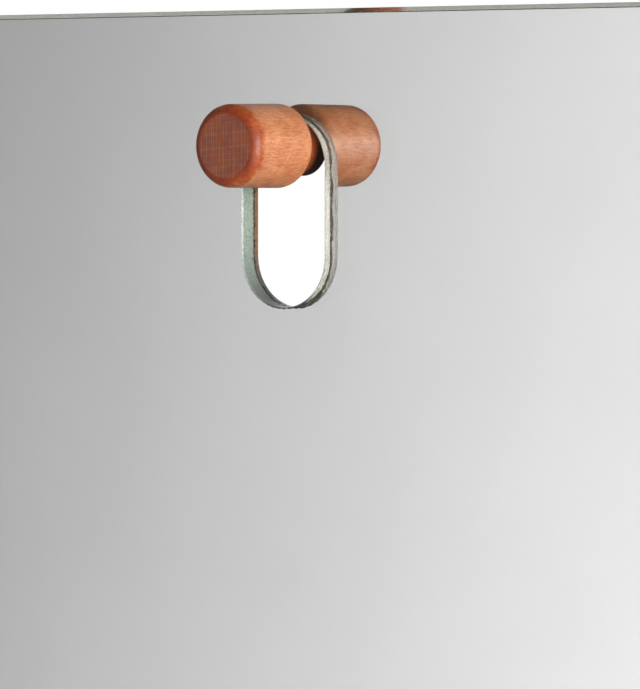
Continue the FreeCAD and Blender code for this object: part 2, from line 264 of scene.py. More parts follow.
def lathe(name, profile, segments, material):
    """Solid turned about Y from (radius, depth) points that start and end on the axis."""
    bm = bmesh.new()
    rings = []
    for radius, along in profile:
        ring = []
        for number in range(segments if radius else 1):
            angle = 2 * math.pi * number / segments
            ring.append(bm.verts.new((radius * math.cos(angle), along, radius * math.sin(angle))))
        rings.append(ring)
    skin(bm, rings, segments)
    return solid_piece(name, bm, [material])


bolt_low, bolt_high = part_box("hanger_bolt")
core_radius = 3.2 * mm
crest_radius = 3.7 * mm
core_segments = 48
bolt_ease = 0.8 * mm
point_length = 8 * mm
core = lathe("bolt_core", [
    (0, bolt_low.y), (core_radius - bolt_ease / 2, bolt_low.y), (core_radius, bolt_low.y + bolt_ease),
    (core_radius, bolt_high.y - point_length), (0, bolt_high.y)], core_segments, zinc)


def cut_thread(name, start, length, pitch):
    """Thread of the bolt that runs from its start towards the plug."""
    ridge = grown(name, thread_tree, {
        "Turns": length / pitch, "Length": length, "Root Radius": core_radius,
        "Crest Radius": crest_radius}, zinc)
    ridge.data.transform(Matrix.Translation((0, start, 0)))
    return ridge


machine_start = bolt_low.y + 1.5 * mm
machine_length = 12 * mm
machine_pitch = 1.25 * mm
machine = cut_thread("machine_thread", machine_start, machine_length, machine_pitch)
wood_start = 3 * mm
wood_pitch = 3.2 * mm
wood_length = bolt_high.y - point_length - wood_start
wood_screw = cut_thread("wood_thread", wood_start, wood_length, wood_pitch)
for part in (core, machine, wood_screw):
    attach(part, "wall_fixing")
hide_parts("hanger_bolt")

# Thread insert
# A brass sleeve, turned from bar and tapped for the machine thread of the bolt.
# It is screwed into the bore of the peg from the wall end.


def dress(name, material):
    """Gives a solid of the frame its finish."""
    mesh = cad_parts[name].data
    mesh.materials.clear()
    mesh.materials.append(material)


# Brass with the fine rings that the turning tool leaves, drawn a little coarser than they are.
# A Wave texture has about three bands in each unit, so the rings are 0.4 mm apart.
brass, tree, shader, place = new_material("turned_brass")
tool_ring_unit = 1.2 * mm
rings = add(tree, "ShaderNodeTexWave", {"Vector": place, "Scale": 1 / tool_ring_unit, "Distortion": 0.6},
            bands_direction="Y")
shade = add(tree, "ShaderNodeValToRGB", {"Fac": rings}, stops=[(0.2, "#b98f43"), (0.8, "#d2ac5c")])
wire(tree, shader, {"Base Color": shade, "Metallic": 1.0, "Roughness": 0.3})
dress("thread_insert", brass)

# Peg
# Beech, turned in one piece and oiled: a barrel with rounded ends before the glass,
# and a neck that the mirror hangs on. It is screwed onto the bolt by its insert
# until the neck's end meets the wall.

# Growth rings stand upright across the end and rays lie level, so the flank shows short dark flecks
# along the grain. The fibre is drawn coarser than it is. The end grain and the rounding before it drink
# more oil and are darker. The neck is darker still, and towards its wall end it is painted near black:
# painted shade, for the shadow that it lies in behind the glass.
beech, tree, shader, place = new_material("oiled_beech")
axes = add(tree, "ShaderNodeSeparateXYZ", {"Vector": place})
normal = add(tree, "ShaderNodeSeparateXYZ", {"Vector": add(tree, "ShaderNodeTexCoord").outputs["Normal"]})
end_on = add(tree, "ShaderNodeMath", {0: normal.outputs["Y"]}, operation="ABSOLUTE")
end_grain = add(tree, "ShaderNodeMapRange", {"Value": end_on, "From Min": 0.99, "From Max": 0.999})
blotch = add(tree, "ShaderNodeTexNoise", {"Vector": place, "Scale": 1 / (6 * mm), "Detail": 3})

# Flank of the barrel, with fibres along it and flecks where the rays meet the surface.
flank = add(tree, "ShaderNodeValToRGB", {"Fac": blotch}, stops=[(0.3, "#b46b3a"), (0.7, "#cd8c60")])
fibre_size = (0.5 * mm, 4 * mm, 0.5 * mm)
fibre_place = add(tree, "ShaderNodeMapping", {"Vector": place, "Scale": [1 / size for size in fibre_size]})
fibre = add(tree, "ShaderNodeTexNoise", {
    "Vector": fibre_place, "Scale": 1.0, "Detail": 4, "Distortion": 0.6})
streak = add(tree, "ShaderNodeValToRGB", {"Fac": fibre}, stops=[(0.3, "#bf957c"), (0.62, "#ffffff")])
flank = add(tree, "ShaderNodeMix", {"Factor": 0.75, "A": flank, "B": streak},
            data_type="RGBA", blend_type="MULTIPLY")
ray_size = (4 * mm, 1.6 * mm, 0.45 * mm)
ray_place = add(tree, "ShaderNodeMapping", {"Vector": place, "Scale": [1 / size for size in ray_size]})
ray = add(tree, "ShaderNodeTexNoise", {"Vector": ray_place, "Scale": 1.0, "Detail": 1})
fleck = add(tree, "ShaderNodeMapRange", {"Value": ray, "From Min": 0.57, "From Max": 0.72, "To Max": 0.6})
flank = add(tree, "ShaderNodeMix", {"Factor": fleck, "A": flank, "B": linear("#8a4722")}, data_type="RGBA")

# Oil soaked in from the front end, to an edge that two sizes of mottle leave uneven.
peg_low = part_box("peg")[0]
soaked_to = peg_low.y + 8.2 * mm
dry_from = peg_low.y + 12.2 * mm
mottle = add(tree, "ShaderNodeTexNoise", {"Vector": place, "Scale": 1 / (1.8 * mm), "Detail": 3})
soak_edge = add(tree, "ShaderNodeMath", {0: blotch, 1: 8 * mm, 2: axes.outputs["Y"]},
                operation="MULTIPLY_ADD")
soak_edge = add(tree, "ShaderNodeMath", {0: mottle, 1: 6 * mm, 2: soak_edge}, operation="MULTIPLY_ADD")
rounding = add(tree, "ShaderNodeMapRange", {
    "Value": soak_edge, "From Min": dry_from, "From Max": soaked_to}, interpolation_type="SMOOTHSTEP")
oil = add(tree, "ShaderNodeValToRGB", {"Fac": end_on}, stops=[(0.5, "#d8a270"), (0.97, "#b87a4e")])
soaked = add(tree, "ShaderNodeMix", {"Factor": rounding, "A": flank, "B": oil},
             data_type="RGBA", blend_type="MULTIPLY")


def grain_lines(tree, across, spacing, width, strength):
    """Pale lines of the end grain, across a coordinate of it. The width is a share of the spacing."""
    row = add(tree, "ShaderNodeTexVoronoi", {"W": across, "Scale": 1 / spacing},
              voronoi_dimensions="1D", feature="DISTANCE_TO_EDGE")
    return add(tree, "ShaderNodeMapRange", {
        "Value": row, "From Max": width, "To Min": strength, "To Max": 0.0})


# End face, with wandering rings and straight rays that come and go.
ring_wander = add(tree, "ShaderNodeTexNoise", {"Vector": place, "Scale": 1 / (7 * mm)})
ring_place = add(tree, "ShaderNodeMath", {0: ring_wander, 1: 0.9 * mm, 2: axes.outputs["X"]},
                 operation="MULTIPLY_ADD")
ray_slope = -0.08
ray_tilt = add(tree, "ShaderNodeMath", {0: axes.outputs["X"], 1: ray_slope, 2: axes.outputs["Z"]},
               operation="MULTIPLY_ADD")
ring_line = grain_lines(tree, ring_place, spacing=1.2 * mm, width=0.18, strength=1.0)
ray_line = grain_lines(tree, ray_tilt, spacing=5 * mm, width=0.045, strength=1.0)
fine_line = grain_lines(tree, ray_tilt, spacing=1.9 * mm, width=0.11, strength=0.6)
line = add(tree, "ShaderNodeMath", {0: ring_line, 1: ray_line}, operation="MAXIMUM")
line = add(tree, "ShaderNodeMath", {0: line, 1: fine_line}, operation="MAXIMUM")
fade_place = add(tree, "ShaderNodeMapping", {"Vector": place, "Scale": (1 / (2 * mm), 0, 1 / (6 * mm))})
fade = add(tree, "ShaderNodeTexNoise", {"Vector": fade_place, "Scale": 1.0})
fading = add(tree, "ShaderNodeMapRange", {
    "Value": fade, "From Min": 0.35, "From Max": 0.65, "To Min": 0.05, "To Max": 0.4})
line_strength = add(tree, "ShaderNodeMath", {0: line, 1: fading}, operation="MULTIPLY")
end_fill = add(tree, "ShaderNodeValToRGB", {"Fac": blotch}, stops=[(0.35, "#763e2e"), (0.7, "#884527")])
end_face = add(tree, "ShaderNodeMix", {"Factor": line_strength, "A": end_fill, "B": linear("#b58d7e")},
               data_type="RGBA")
wood = add(tree, "ShaderNodeMix", {"Factor": end_grain, "A": soaked, "B": end_face}, data_type="RGBA")

# Neck, with painted shade that takes its wall end to near black, and less gloss there.
# It has no wax, and the barrel has less where the oil soaked in.
neck_edge = -12.5 * mm
neck_full = -11.5 * mm
neck_shade_edge = -9.5 * mm
neck_shade_full = -5 * mm
neck = add(tree, "ShaderNodeMapRange", {
    "Value": axes.outputs["Y"], "From Min": neck_edge, "From Max": neck_full})
neck_shade = add(tree, "ShaderNodeMapRange", {
    "Value": axes.outputs["Y"], "From Min": neck_shade_edge, "From Max": neck_shade_full})
wood = add(tree, "ShaderNodeMix", {"Factor": neck, "A": wood, "B": linear("#b5521a")}, data_type="RGBA")
# Painted shade: near black towards the wall end of the neck.
wood = add(tree, "ShaderNodeMix", {"Factor": neck_shade, "A": wood, "B": linear("#280c04")}, data_type="RGBA")
dull = add(tree, "ShaderNodeMapRange", {"Value": fibre, "To Min": 0.5, "To Max": 0.65})
dull = add(tree, "ShaderNodeMath", {0: neck_shade, 1: 0.5, 2: dull}, operation="MULTIPLY_ADD", use_clamp=True)
barrel = add(tree, "ShaderNodeMath", {0: 1.0, 1: neck}, operation="SUBTRACT")
waxed = add(tree, "ShaderNodeMapRange", {"Value": rounding, "To Min": 0.6, "To Max": 0.34})
waxed = add(tree, "ShaderNodeMath", {0: waxed, 1: barrel}, operation="MULTIPLY")
bump = add(tree, "ShaderNodeBump", {"Height": fibre, "Strength": 0.1, "Distance": 0.1 * mm})
wire(tree, shader, {
    "Base Color": wood, "Roughness": dull, "Normal": bump, "IOR": 1.5, "Specular IOR Level": 0.35,
    "Coat Weight": waxed, "Coat Roughness": 0.38, "Coat IOR": 1.5})
dress("peg", beech)

# Mirror glass
# Float glass with a bevel round the front. Its slot hangs over the neck of the peg.
# The slot is cut with a core drill and a saw and its wall is ground, which leaves it frosted.

# Clear float glass, with the faintest cast across the sheet.
clear_glass, tree, shader, place = new_material("float_glass")
cast = add(tree, "ShaderNodeTexNoise", {"Vector": place, "Scale": 1 / (200 * mm)})
shade = add(tree, "ShaderNodeValToRGB", {"Fac": cast}, stops=[(0.3, "#fcfdfc"), (0.7, "#fefefe")])
wire(tree, shader, {"Base Color": shade, "Transmission Weight": 1.0, "Roughness": 0.0, "IOR": 1.52})

# Frosted wall of the slot, with the grit of the wheel drawn coarser than it is. Its left side is painted
# green and its right side cream: painted light, for the green of the sheet's depth seen through the left
# wall and the light that comes through the right wall from the slot. The right side lets more light
# through.
# Dark chips follow its rear edge, the arris in front is rough and bright, and its foot is painted darker
# grey and lets less light through: painted shade, for the dimmer light at the bottom of the slot.
glass_low, glass_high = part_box("mirror_glass")
green_to = 4 * mm
cream_from = 14 * mm
ground_glass, tree, shader, place = new_material("ground_glass")
axes = add(tree, "ShaderNodeSeparateXYZ", {"Vector": place})
# Painted light: green on the left side of the slot, cream on the right.
right_side = add(tree, "ShaderNodeMapRange", {
    "Value": axes.outputs["X"], "From Min": green_to, "From Max": cream_from})
grit = add(tree, "ShaderNodeTexNoise", {"Vector": place, "Scale": 1 / (0.6 * mm), "Detail": 3})
green_side_tint = add(tree, "ShaderNodeValToRGB", {"Fac": grit}, stops=[(0.3, "#788b7e"), (0.7, "#b1bfb0")])
cream_side_tint = add(tree, "ShaderNodeValToRGB", {"Fac": grit}, stops=[(0.35, "#9c9582"), (0.65, "#d8d2c2")])
shade = add(tree, "ShaderNodeMix", {"Factor": right_side, "A": green_side_tint, "B": cream_side_tint}, data_type="RGBA")
chip_size = (1.2 * mm, 3 * mm, 1.2 * mm)
chip_reach = 1.4 * mm
chip_place = add(tree, "ShaderNodeMapping", {"Vector": place, "Scale": [1 / size for size in chip_size]})
chip = add(tree, "ShaderNodeTexNoise", {"Vector": chip_place, "Scale": 1.0, "Detail": 2})
rear_edge = add(tree, "ShaderNodeMapRange", {
    "Value": axes.outputs["Y"], "From Min": glass_high.y - chip_reach, "From Max": glass_high.y,
    "To Max": 0.45})
chip = add(tree, "ShaderNodeMath", {0: rear_edge, 1: chip}, operation="ADD")
chip = add(tree, "ShaderNodeMapRange", {"Value": chip, "From Min": 0.74, "From Max": 0.84, "To Max": 0.8})
shade = add(tree, "ShaderNodeMix", {"Factor": chip, "A": shade, "B": linear("#5d5646")}, data_type="RGBA")
rim_edge = 0.5 * mm
rim_full = 0.3 * mm
rim = add(tree, "ShaderNodeMapRange", {
    "Value": axes.outputs["Y"], "From Min": glass_low.y + rim_edge, "From Max": glass_low.y + rim_full})
crust = add(tree, "ShaderNodeMapRange", {
    "Value": grit, "From Min": 0.35, "From Max": 0.65, "To Min": 0.2, "To Max": 0.8})
rim = add(tree, "ShaderNodeMath", {0: rim, 1: crust}, operation="MULTIPLY")
shade = add(tree, "ShaderNodeMix", {"Factor": rim, "A": shade, "B": linear("#f6f8f4")}, data_type="RGBA")
# Painted shade: grey towards the foot of the slot, most on the left side, with less light let through.
grey_from = -22 * mm
grey_full = -54 * mm
foot_shade_share = add(tree, "ShaderNodeMapRange", {"Value": right_side, "To Min": 1.0, "To Max": 0.4})
foot = add(tree, "ShaderNodeMapRange", {
    "Value": axes.outputs["Z"], "From Min": grey_from, "From Max": grey_full})
foot = add(tree, "ShaderNodeMath", {0: foot, 1: foot_shade_share}, operation="MULTIPLY")
shade = add(tree, "ShaderNodeMix", {"Factor": foot, "A": shade, "B": linear("#5c5f5d")}, data_type="RGBA")
clear = add(tree, "ShaderNodeMapRange", {"Value": right_side, "To Min": 0.3, "To Max": 0.6})
clear = add(tree, "ShaderNodeMath", {0: foot, 1: -0.55, 2: clear}, operation="MULTIPLY_ADD", use_clamp=True)
bump = add(tree, "ShaderNodeBump", {"Height": grit, "Strength": 0.2, "Distance": 0.2 * mm})
wire(tree, shader, {
    "Base Color": shade, "Normal": bump, "Transmission Weight": clear, "Roughness": 0.75, "IOR": 1.52,
    "Specular IOR Level": 0.15})

# The bevel has only a dull polish, so what it shows is soft. Its olive grey with a few specks, darker
# than the clear glass, is painted shade for the dimmer view through the bevel.
satin_bevel, tree, shader, place = new_material("satin_bevel")
speck = add(tree, "ShaderNodeTexNoise", {"Vector": place, "Scale": 1 / (1.5 * mm), "Detail": 3})
shade = add(tree, "ShaderNodeValToRGB", {"Fac": speck}, stops=[(0.25, "#b5b2a2"), (0.4, "#d7d4c6")])
wire(tree, shader, {"Base Color": shade, "Transmission Weight": 1.0, "Roughness": 0.12, "IOR": 1.52})

# The border is polished flat, and the depth of glass behind it looks green.
polished_edge, tree, shader, place = new_material("polished_edge")
depth = add(tree, "ShaderNodeTexNoise", {"Vector": place, "Scale": 1 / (20 * mm), "Detail": 2})
shade = add(tree, "ShaderNodeValToRGB", {"Fac": depth}, stops=[(0.3, "#6f9484"), (0.7, "#8aab9a")])
wire(tree, shader, {"Base Color": shade, "Transmission Weight": 0.35, "Roughness": 0.1, "IOR": 1.52})

corner_radius = 2 * mm
corner_steps = 6
least_radius = 0.1 * mm
bevel_height = 1.5 * mm
bevel_depth = 2 * mm
arris = 0.4 * mm
slot_radius = 17 * mm
arch_centre = -6.7 * mm
foot_centre = -36.7 * mm
slot_points = 720
slot_straight = arch_centre - foot_centre
slot_round = math.pi * slot_radius
slot_girth = 2 * (slot_round + slot_straight)


def border(low, high, inset):
    """Border of a sheet with eased corners, as (x, z) points."""
    radius = max(corner_radius - inset, least_radius)
    points = []
    corners = ((high.x, high.z), (low.x, high.z), (low.x, low.z), (high.x, low.z))
    for turn, (x, z) in enumerate(corners):
        centre_x = x - math.copysign(inset + radius, x)
        centre_z = z - math.copysign(inset + radius, z)
        for number in range(corner_steps + 1):
            angle = math.pi / 2 * (turn + number / corner_steps)
            points.append((centre_x + radius * math.cos(angle), centre_z + radius * math.sin(angle)))
    return points


def slot_edge(cut):
    """Edge of the slot as (x, z) points, from the right end of the arch over the top.

    Cut gives how far the edge stands back from the true slot at a way along it.
    """
    points = []
    for number in range(slot_points):
        way = slot_girth * number / slot_points
        radius = slot_radius + cut(way)
        if way < slot_round:
            angle = way / slot_radius
            points.append((radius * math.cos(angle), arch_centre + radius * math.sin(angle)))
        elif way < slot_round + slot_straight:
            points.append((-radius, arch_centre + slot_round - way))
        elif way < 2 * slot_round + slot_straight:
            angle = (way - slot_straight) / slot_radius
            points.append((radius * math.cos(angle), foot_centre + radius * math.sin(angle)))
        else:
            points.append((radius, foot_centre + way - 2 * slot_round - slot_straight))
    return points


def slotted_sheet(name, border_rows, slot_rows, materials, rear=0):
    """Closed sheet that rides on the mirror, from rows of (depth, points, number), rear row first.

    The number chooses the material of the band from that row to the next.
    The front takes that of the last border row, and the rear takes the rear number.
    """
    bm = bmesh.new()
    ends = []
    for rows in (border_rows, slot_rows):
        loops = [[bm.verts.new((x, depth, z)) for x, z in points] for depth, points, number in rows]
        for loop, following, (depth, points, number) in zip(loops, loops[1:], rows):
            for a, b, c, d in zip(loop, loop[1:] + loop[:1], following[1:] + following[:1], following):
                face = bm.faces.new((a, b, c, d))
                face.material_index = number
        ends.append((loops[0], loops[-1]))
    for side, number in ((0, rear), (1, border_rows[-1][2])):
        rims = []
        for loops in ends:
            loop = loops[side]
            rims += [bm.edges.get((a, b)) for a, b in zip(loop, loop[1:] + loop[:1])]
        filled = bmesh.ops.triangle_fill(bm, use_beauty=True, use_dissolve=False, edges=rims)
        for item in filled["geom"]:
            if isinstance(item, bmesh.types.BMFace):
                item.material_index = number
    sheet = solid_piece(name, bm, materials)
    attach(sheet, "mirror")
    return sheet


def wander(way, length):
    """Smooth noise from -1 to 1 that closes round the slot, with waves about as long as asked."""
    angle = 2 * math.pi * way / slot_girth
    reach = slot_girth / (2 * math.pi * length)
    return noise.noise(Vector((reach * math.cos(angle), reach * math.sin(angle), length / mm)))


def true_edge(way):
    """The slot as it is cut."""
    return 0.0


def crumbled(way):
    """Front edge of the slot, where the arris has lost fine crumbs."""
    mean_loss = 0.12 * mm
    crumb_depth = 0.24 * mm
    crumb_length = 0.9 * mm
    return arris + mean_loss + crumb_depth * wander(way, crumb_length)


clear_face, ground_wall, bevel_band, outer_edge = range(4)
pane = slotted_sheet("glass_pane", [
    (glass_high.y, border(glass_low, glass_high, 0), outer_edge),
    (glass_low.y + bevel_depth, border(glass_low, glass_high, 0), bevel_band),
    (glass_low.y, border(glass_low, glass_high, bevel_height), clear_face),
], [
    (glass_high.y, slot_edge(true_edge), ground_wall),
    (glass_low.y + arris, slot_edge(true_edge), ground_wall),
    (glass_low.y, slot_edge(crumbled), ground_wall),
], [clear_glass, ground_glass, satin_bevel, polished_edge], rear=clear_face)
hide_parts("mirror_glass")

# Silvering
# Silver and a coat of paint, laid on the back of the glass.
# Grinding the slot chipped the coat, so its edge is ragged there.

# A clean silver with the faintest change of tone across the sheet.
silver, tree, shader, place = new_material("silver_coat")
tint = add(tree, "ShaderNodeTexNoise", {"Vector": place, "Scale": 1 / (60 * mm)})
shade = add(tree, "ShaderNodeValToRGB", {"Fac": tint}, stops=[(0.3, "#dfdfdf"), (0.7, "#e2e2e2")])
wire(tree, shader, {"Base Color": shade, "Metallic": 1.0, "Roughness": 0.0})

# Grey paint over the silver, poured on and slightly rippled.
back_paint, tree, shader, place = new_material("back_paint")
ripple = add(tree, "ShaderNodeTexNoise", {"Vector": place, "Scale": 1 / (5 * mm), "Detail": 3})
shade = add(tree, "ShaderNodeValToRGB", {"Fac": ripple}, stops=[(0.3, "#6f7a78"), (0.7, "#7f8a87")])
bump = add(tree, "ShaderNodeBump", {"Height": ripple, "Strength": 0.2, "Distance": 0.2 * mm})
wire(tree, shader, {"Base Color": shade, "Normal": bump, "Roughness": 0.5})


def chipped(way):
    """Chips of the coat: long bites with fine teeth, which fade towards the foot."""
    set_back = 0.25 * mm
    mean_bite = 0.7 * mm
    fade_length = 14 * mm
    long_bite = 0.8 * mm * wander(way, 5 * mm)
    fine_tooth = 0.6 * mm * wander(way, 1.6 * mm)
    bite = max(0.0, mean_bite + long_bite + fine_tooth)
    from_foot = abs(way - 1.5 * slot_round - slot_straight)
    return set_back + bite * min(1.0, from_foot / fade_length)


silver_low, silver_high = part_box("silvering")
coat_gap = 0.02 * mm
silvered, painted = range(2)
coat = slotted_sheet("silver_and_paint", [
    (silver_high.y - coat_gap, border(silver_low, silver_high, 0), silvered),
    (silver_low.y + coat_gap, border(silver_low, silver_high, 0), silvered),
], [
    (silver_high.y - coat_gap, slot_edge(chipped), painted),
    (silver_low.y + coat_gap, slot_edge(chipped), painted),
], [silver, back_paint], rear=painted)
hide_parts("silvering")

# Bonding film
# A dark acrylic film that holds the board to the paint.
# It was pressed between them until a little of it stood out into the slot.

# Smeared brown, darker along the bead that stands out into the slot.
acrylic, tree, shader, place = new_material("acrylic_film")
bead_edge = 0.2 * mm
smear = add(tree, "ShaderNodeTexNoise", {"Vector": place, "Scale": 1 / (2 * mm), "Detail": 4})
shade = add(tree, "ShaderNodeValToRGB", {"Fac": smear}, stops=[(0.3, "#4c4433"), (0.7, "#7c6f58")])
axes = add(tree, "ShaderNodeSeparateXYZ", {"Vector": place})
height = add(tree, "ShaderNodeMath", {0: axes.outputs["Z"], 1: (arch_centre + foot_centre) / 2},
             operation="SUBTRACT")
height = add(tree, "ShaderNodeMath", {0: height}, operation="ABSOLUTE")
height = add(tree, "ShaderNodeMath", {0: height, 1: slot_straight / 2}, operation="SUBTRACT")
height = add(tree, "ShaderNodeMath", {0: height, 1: 0}, operation="MAXIMUM")
spot = add(tree, "ShaderNodeCombineXYZ", {"X": axes.outputs["X"], "Z": height})
reach = add(tree, "ShaderNodeVectorMath", {0: spot}, operation="LENGTH")
bead_darkening = add(tree, "ShaderNodeMapRange", {
    "Value": reach, "From Min": slot_radius + bead_edge, "From Max": slot_radius})
shade = add(tree, "ShaderNodeMix", {"Factor": bead_darkening, "A": shade, "B": linear("#2c2820")}, data_type="RGBA")
wire(tree, shader, {"Base Color": shade, "Roughness": 0.6})


def squeezed(way):
    """Film that stands out of the joint here and there.

    It fades out at the top and the foot, where the neck may bear.
    """
    mean_bead = 0.15 * mm
    fade_length = 8 * mm
    long_swell = 0.4 * mm * wander(way, 2.5 * mm)
    short_swell = 0.45 * mm * wander(way, 0.9 * mm)
    bead = max(0.0, mean_bead + long_swell + short_swell)
    from_bearing = abs(way % (slot_girth / 2) - slot_round / 2)
    return -bead * min(1.0, from_bearing / fade_length)


film_low, film_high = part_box("bonding_film")
film = slotted_sheet("film_sheet", [
    (film_high.y, border(film_low, film_high, 0), 0),
    (film_low.y, border(film_low, film_high, 0), 0),
], [
    (film_high.y, slot_edge(squeezed), 0),
    (film_low.y, slot_edge(squeezed), 0),
], [acrylic])
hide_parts("bonding_film")

# Backing board
# Hardboard, pressed from wet wood fibre: smooth to the film, with the print of the drying mesh behind.
# It is bonded to the glass and saves it if it breaks.

# Brown pulp, clouded by the press. In the foot of the slot its edge is painted grey, darker downwards:
# painted shade, for the dimmer light at the bottom of the slot.
hardboard, tree, shader, place = new_material("hardboard")
pulp = add(tree, "ShaderNodeTexNoise", {"Vector": place, "Scale": 1 / (1.5 * mm), "Detail": 6})
shade = add(tree, "ShaderNodeValToRGB", {"Fac": pulp}, stops=[(0.3, "#62472f"), (0.7, "#8b6848")])
cloud = add(tree, "ShaderNodeTexNoise", {
    "Vector": place, "Scale": 1 / (60 * mm), "Detail": 4, "Distortion": 0.5})
press = add(tree, "ShaderNodeValToRGB", {"Fac": cloud}, stops=[(0.3, "#d6ccc3"), (0.7, "#ffffff")])
shade = add(tree, "ShaderNodeMix", {"Factor": 0.5, "A": shade, "B": press},
            data_type="RGBA", blend_type="MULTIPLY")
# Painted shade: the board's edge in the slot turns grey towards the foot.
foot_shade_from = -34 * mm
foot_shade_full = -44 * mm
slot_zone = 1.2 * slot_radius
axes = add(tree, "ShaderNodeSeparateXYZ", {"Vector": place})
facing = add(tree, "ShaderNodeSeparateXYZ", {"Vector": add(tree, "ShaderNodeTexCoord").outputs["Normal"]})
edge_on = add(tree, "ShaderNodeMath", {0: facing.outputs["Y"]}, operation="ABSOLUTE")
edge_on = add(tree, "ShaderNodeMapRange", {"Value": edge_on, "To Min": 1.0, "To Max": 0.0})
aside = add(tree, "ShaderNodeMath", {0: axes.outputs["X"]}, operation="ABSOLUTE")
in_slot = add(tree, "ShaderNodeMath", {0: aside, 1: slot_zone}, operation="LESS_THAN")
foot_shade = add(tree, "ShaderNodeMapRange", {
    "Value": axes.outputs["Z"], "From Min": foot_shade_from, "From Max": foot_shade_full, "To Max": 0.95})
foot_shade = add(tree, "ShaderNodeMath", {0: foot_shade, 1: edge_on}, operation="MULTIPLY")
foot_shade = add(tree, "ShaderNodeMath", {0: foot_shade, 1: in_slot}, operation="MULTIPLY")
shade = add(tree, "ShaderNodeMix", {"Factor": foot_shade, "A": shade, "B": linear("#505250")}, data_type="RGBA")

# A Wave texture has about three bands in each unit, so the print of the mesh repeats every 0.6 mm.
mesh_unit = 2 * mm
weave_x = add(tree, "ShaderNodeTexWave", {"Vector": place, "Scale": 1 / mesh_unit}, bands_direction="X")
weave_z = add(tree, "ShaderNodeTexWave", {"Vector": place, "Scale": 1 / mesh_unit}, bands_direction="Z")
weave = add(tree, "ShaderNodeMath", {0: weave_x.outputs["Fac"], 1: weave_z.outputs["Fac"]},
            operation="MULTIPLY")
relief = add(tree, "ShaderNodeMath", {0: weave, 1: 0.6, 2: pulp}, operation="MULTIPLY_ADD")
bump = add(tree, "ShaderNodeBump", {"Height": relief, "Strength": 0.5, "Distance": 0.2 * mm})
wire(tree, shader, {"Base Color": shade, "Normal": bump, "Roughness": 0.75})
dress("backing_board", hardboard)

# Felt pads
# Four discs of pressed wool, punched from sheet and stuck to the corners of the board.
# They make the mirror hang upright and clear of the wall.

# Curled hairs that lie four ways across each other, drawn thicker than they are.
felt, tree, shader, place = new_material("pressed_felt")
curl_reach = 3 * mm
hair_size = (0.35 * mm, 0.8 * mm, 3 * mm)
hair_lays = 4
first_lay = 0.3
curl = add(tree, "ShaderNodeTexNoise", {"Vector": place, "Scale": 1 / (2.5 * mm), "Detail": 1})
curled = add(tree, "ShaderNodeVectorMath", {
    0: curl.outputs["Color"], 1: (curl_reach, curl_reach, curl_reach), 2: place}, operation="MULTIPLY_ADD")
hair = None
for lay in range(hair_lays):
    laid = add(tree, "ShaderNodeVectorRotate", {
        "Vector": curled, "Axis": (0, 1, 0), "Angle": first_lay + lay * math.pi / hair_lays})
    drawn = add(tree, "ShaderNodeMapping", {
        "Vector": laid, "Location": (lay, 0, lay), "Scale": [1 / size for size in hair_size]})
    strand = add(tree, "ShaderNodeTexNoise", {"Vector": drawn, "Scale": 1.0, "Detail": 2})
    hair = add(tree, "ShaderNodeMath", {0: hair, 1: strand}, operation="MAXIMUM") if hair else strand
shade = add(tree, "ShaderNodeValToRGB", {"Fac": hair}, stops=[(0.5, "#6b655d"), (0.8, "#9a948a")])
bump = add(tree, "ShaderNodeBump", {"Height": hair, "Strength": 0.8, "Distance": 0.3 * mm})
wire(tree, shader, {"Base Color": shade, "Normal": bump, "Roughness": 0.95, "Sheen Weight": 0.3})

felt_low, felt_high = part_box("felt_pads")
felt_radius = 10 * mm
felt_round = 0.7 * mm
round_steps = 4
fuzz_depth = 0.15 * mm
fuzz_length = 1.5 * mm
felt_segments = 72

# Rounded side of a pad from front to rear, as (depth, what the radius loses there).
felt_side = []
for number in range(round_steps, -1, -1):
    angle = math.pi / 2 * number / round_steps
    felt_side.append((felt_low.y + felt_round * (1 - math.sin(angle)), felt_round * (1 - math.cos(angle))))
for number in range(round_steps + 1):
    angle = math.pi / 2 * number / round_steps
    felt_side.append((felt_high.y - felt_round * (1 - math.sin(angle)), felt_round * (1 - math.cos(angle))))

pads_bm = bmesh.new()
for centre_x in (felt_low.x + felt_radius, felt_high.x - felt_radius):
    for centre_z in (felt_low.z + felt_radius, felt_high.z - felt_radius):
        rings = [[pads_bm.verts.new((centre_x, felt_low.y, centre_z))]]
        for along, loss in felt_side:
            ring = []
            for number in range(felt_segments):
                angle = 2 * math.pi * number / felt_segments
                across = math.cos(angle)
                upward = math.sin(angle)
                spot = Vector((centre_x + across * felt_radius, along, centre_z + upward * felt_radius))
                fuzz = fuzz_depth * (1 - noise.noise(spot / fuzz_length))
                radius = felt_radius - loss - fuzz
                ring.append(pads_bm.verts.new(
                    (centre_x + radius * across, along, centre_z + radius * upward)))
            rings.append(ring)
        rings.append([pads_bm.verts.new((centre_x, felt_high.y, centre_z))])
        for face in skin(pads_bm, rings, felt_segments):
            face.smooth = True
pads = solid_piece("felt_discs", pads_bm, [felt])
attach(pads, "mirror")
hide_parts("felt_pads")

# Studio
# A pale paper floor below the mirror, and a grey screen in front of it that only the mirror sees.
# Three lamp panels light the object softly, from the right, from the front right and from behind.


def stage_sheet(name, corners, material):
    """Flat sheet of the studio, which isn't part of the object."""
    mesh = bpy.data.meshes.new(name)
    mesh.from_pydata(corners, [], [(0, 1, 2, 3)])
    mesh.materials.append(material)
    sheet = placed(name, mesh)
    return sheet


def seen_rays(tree):
    """Light Path, and 1 for the rays by which the camera sees a surface, directly or through glass."""
    path = add(tree, "ShaderNodeLightPath")
    seen = add(tree, "ShaderNodeMath", {
        0: path.outputs["Is Camera Ray"], 1: path.outputs["Is Transmission Ray"]}, operation="MAXIMUM")
    return path, seen


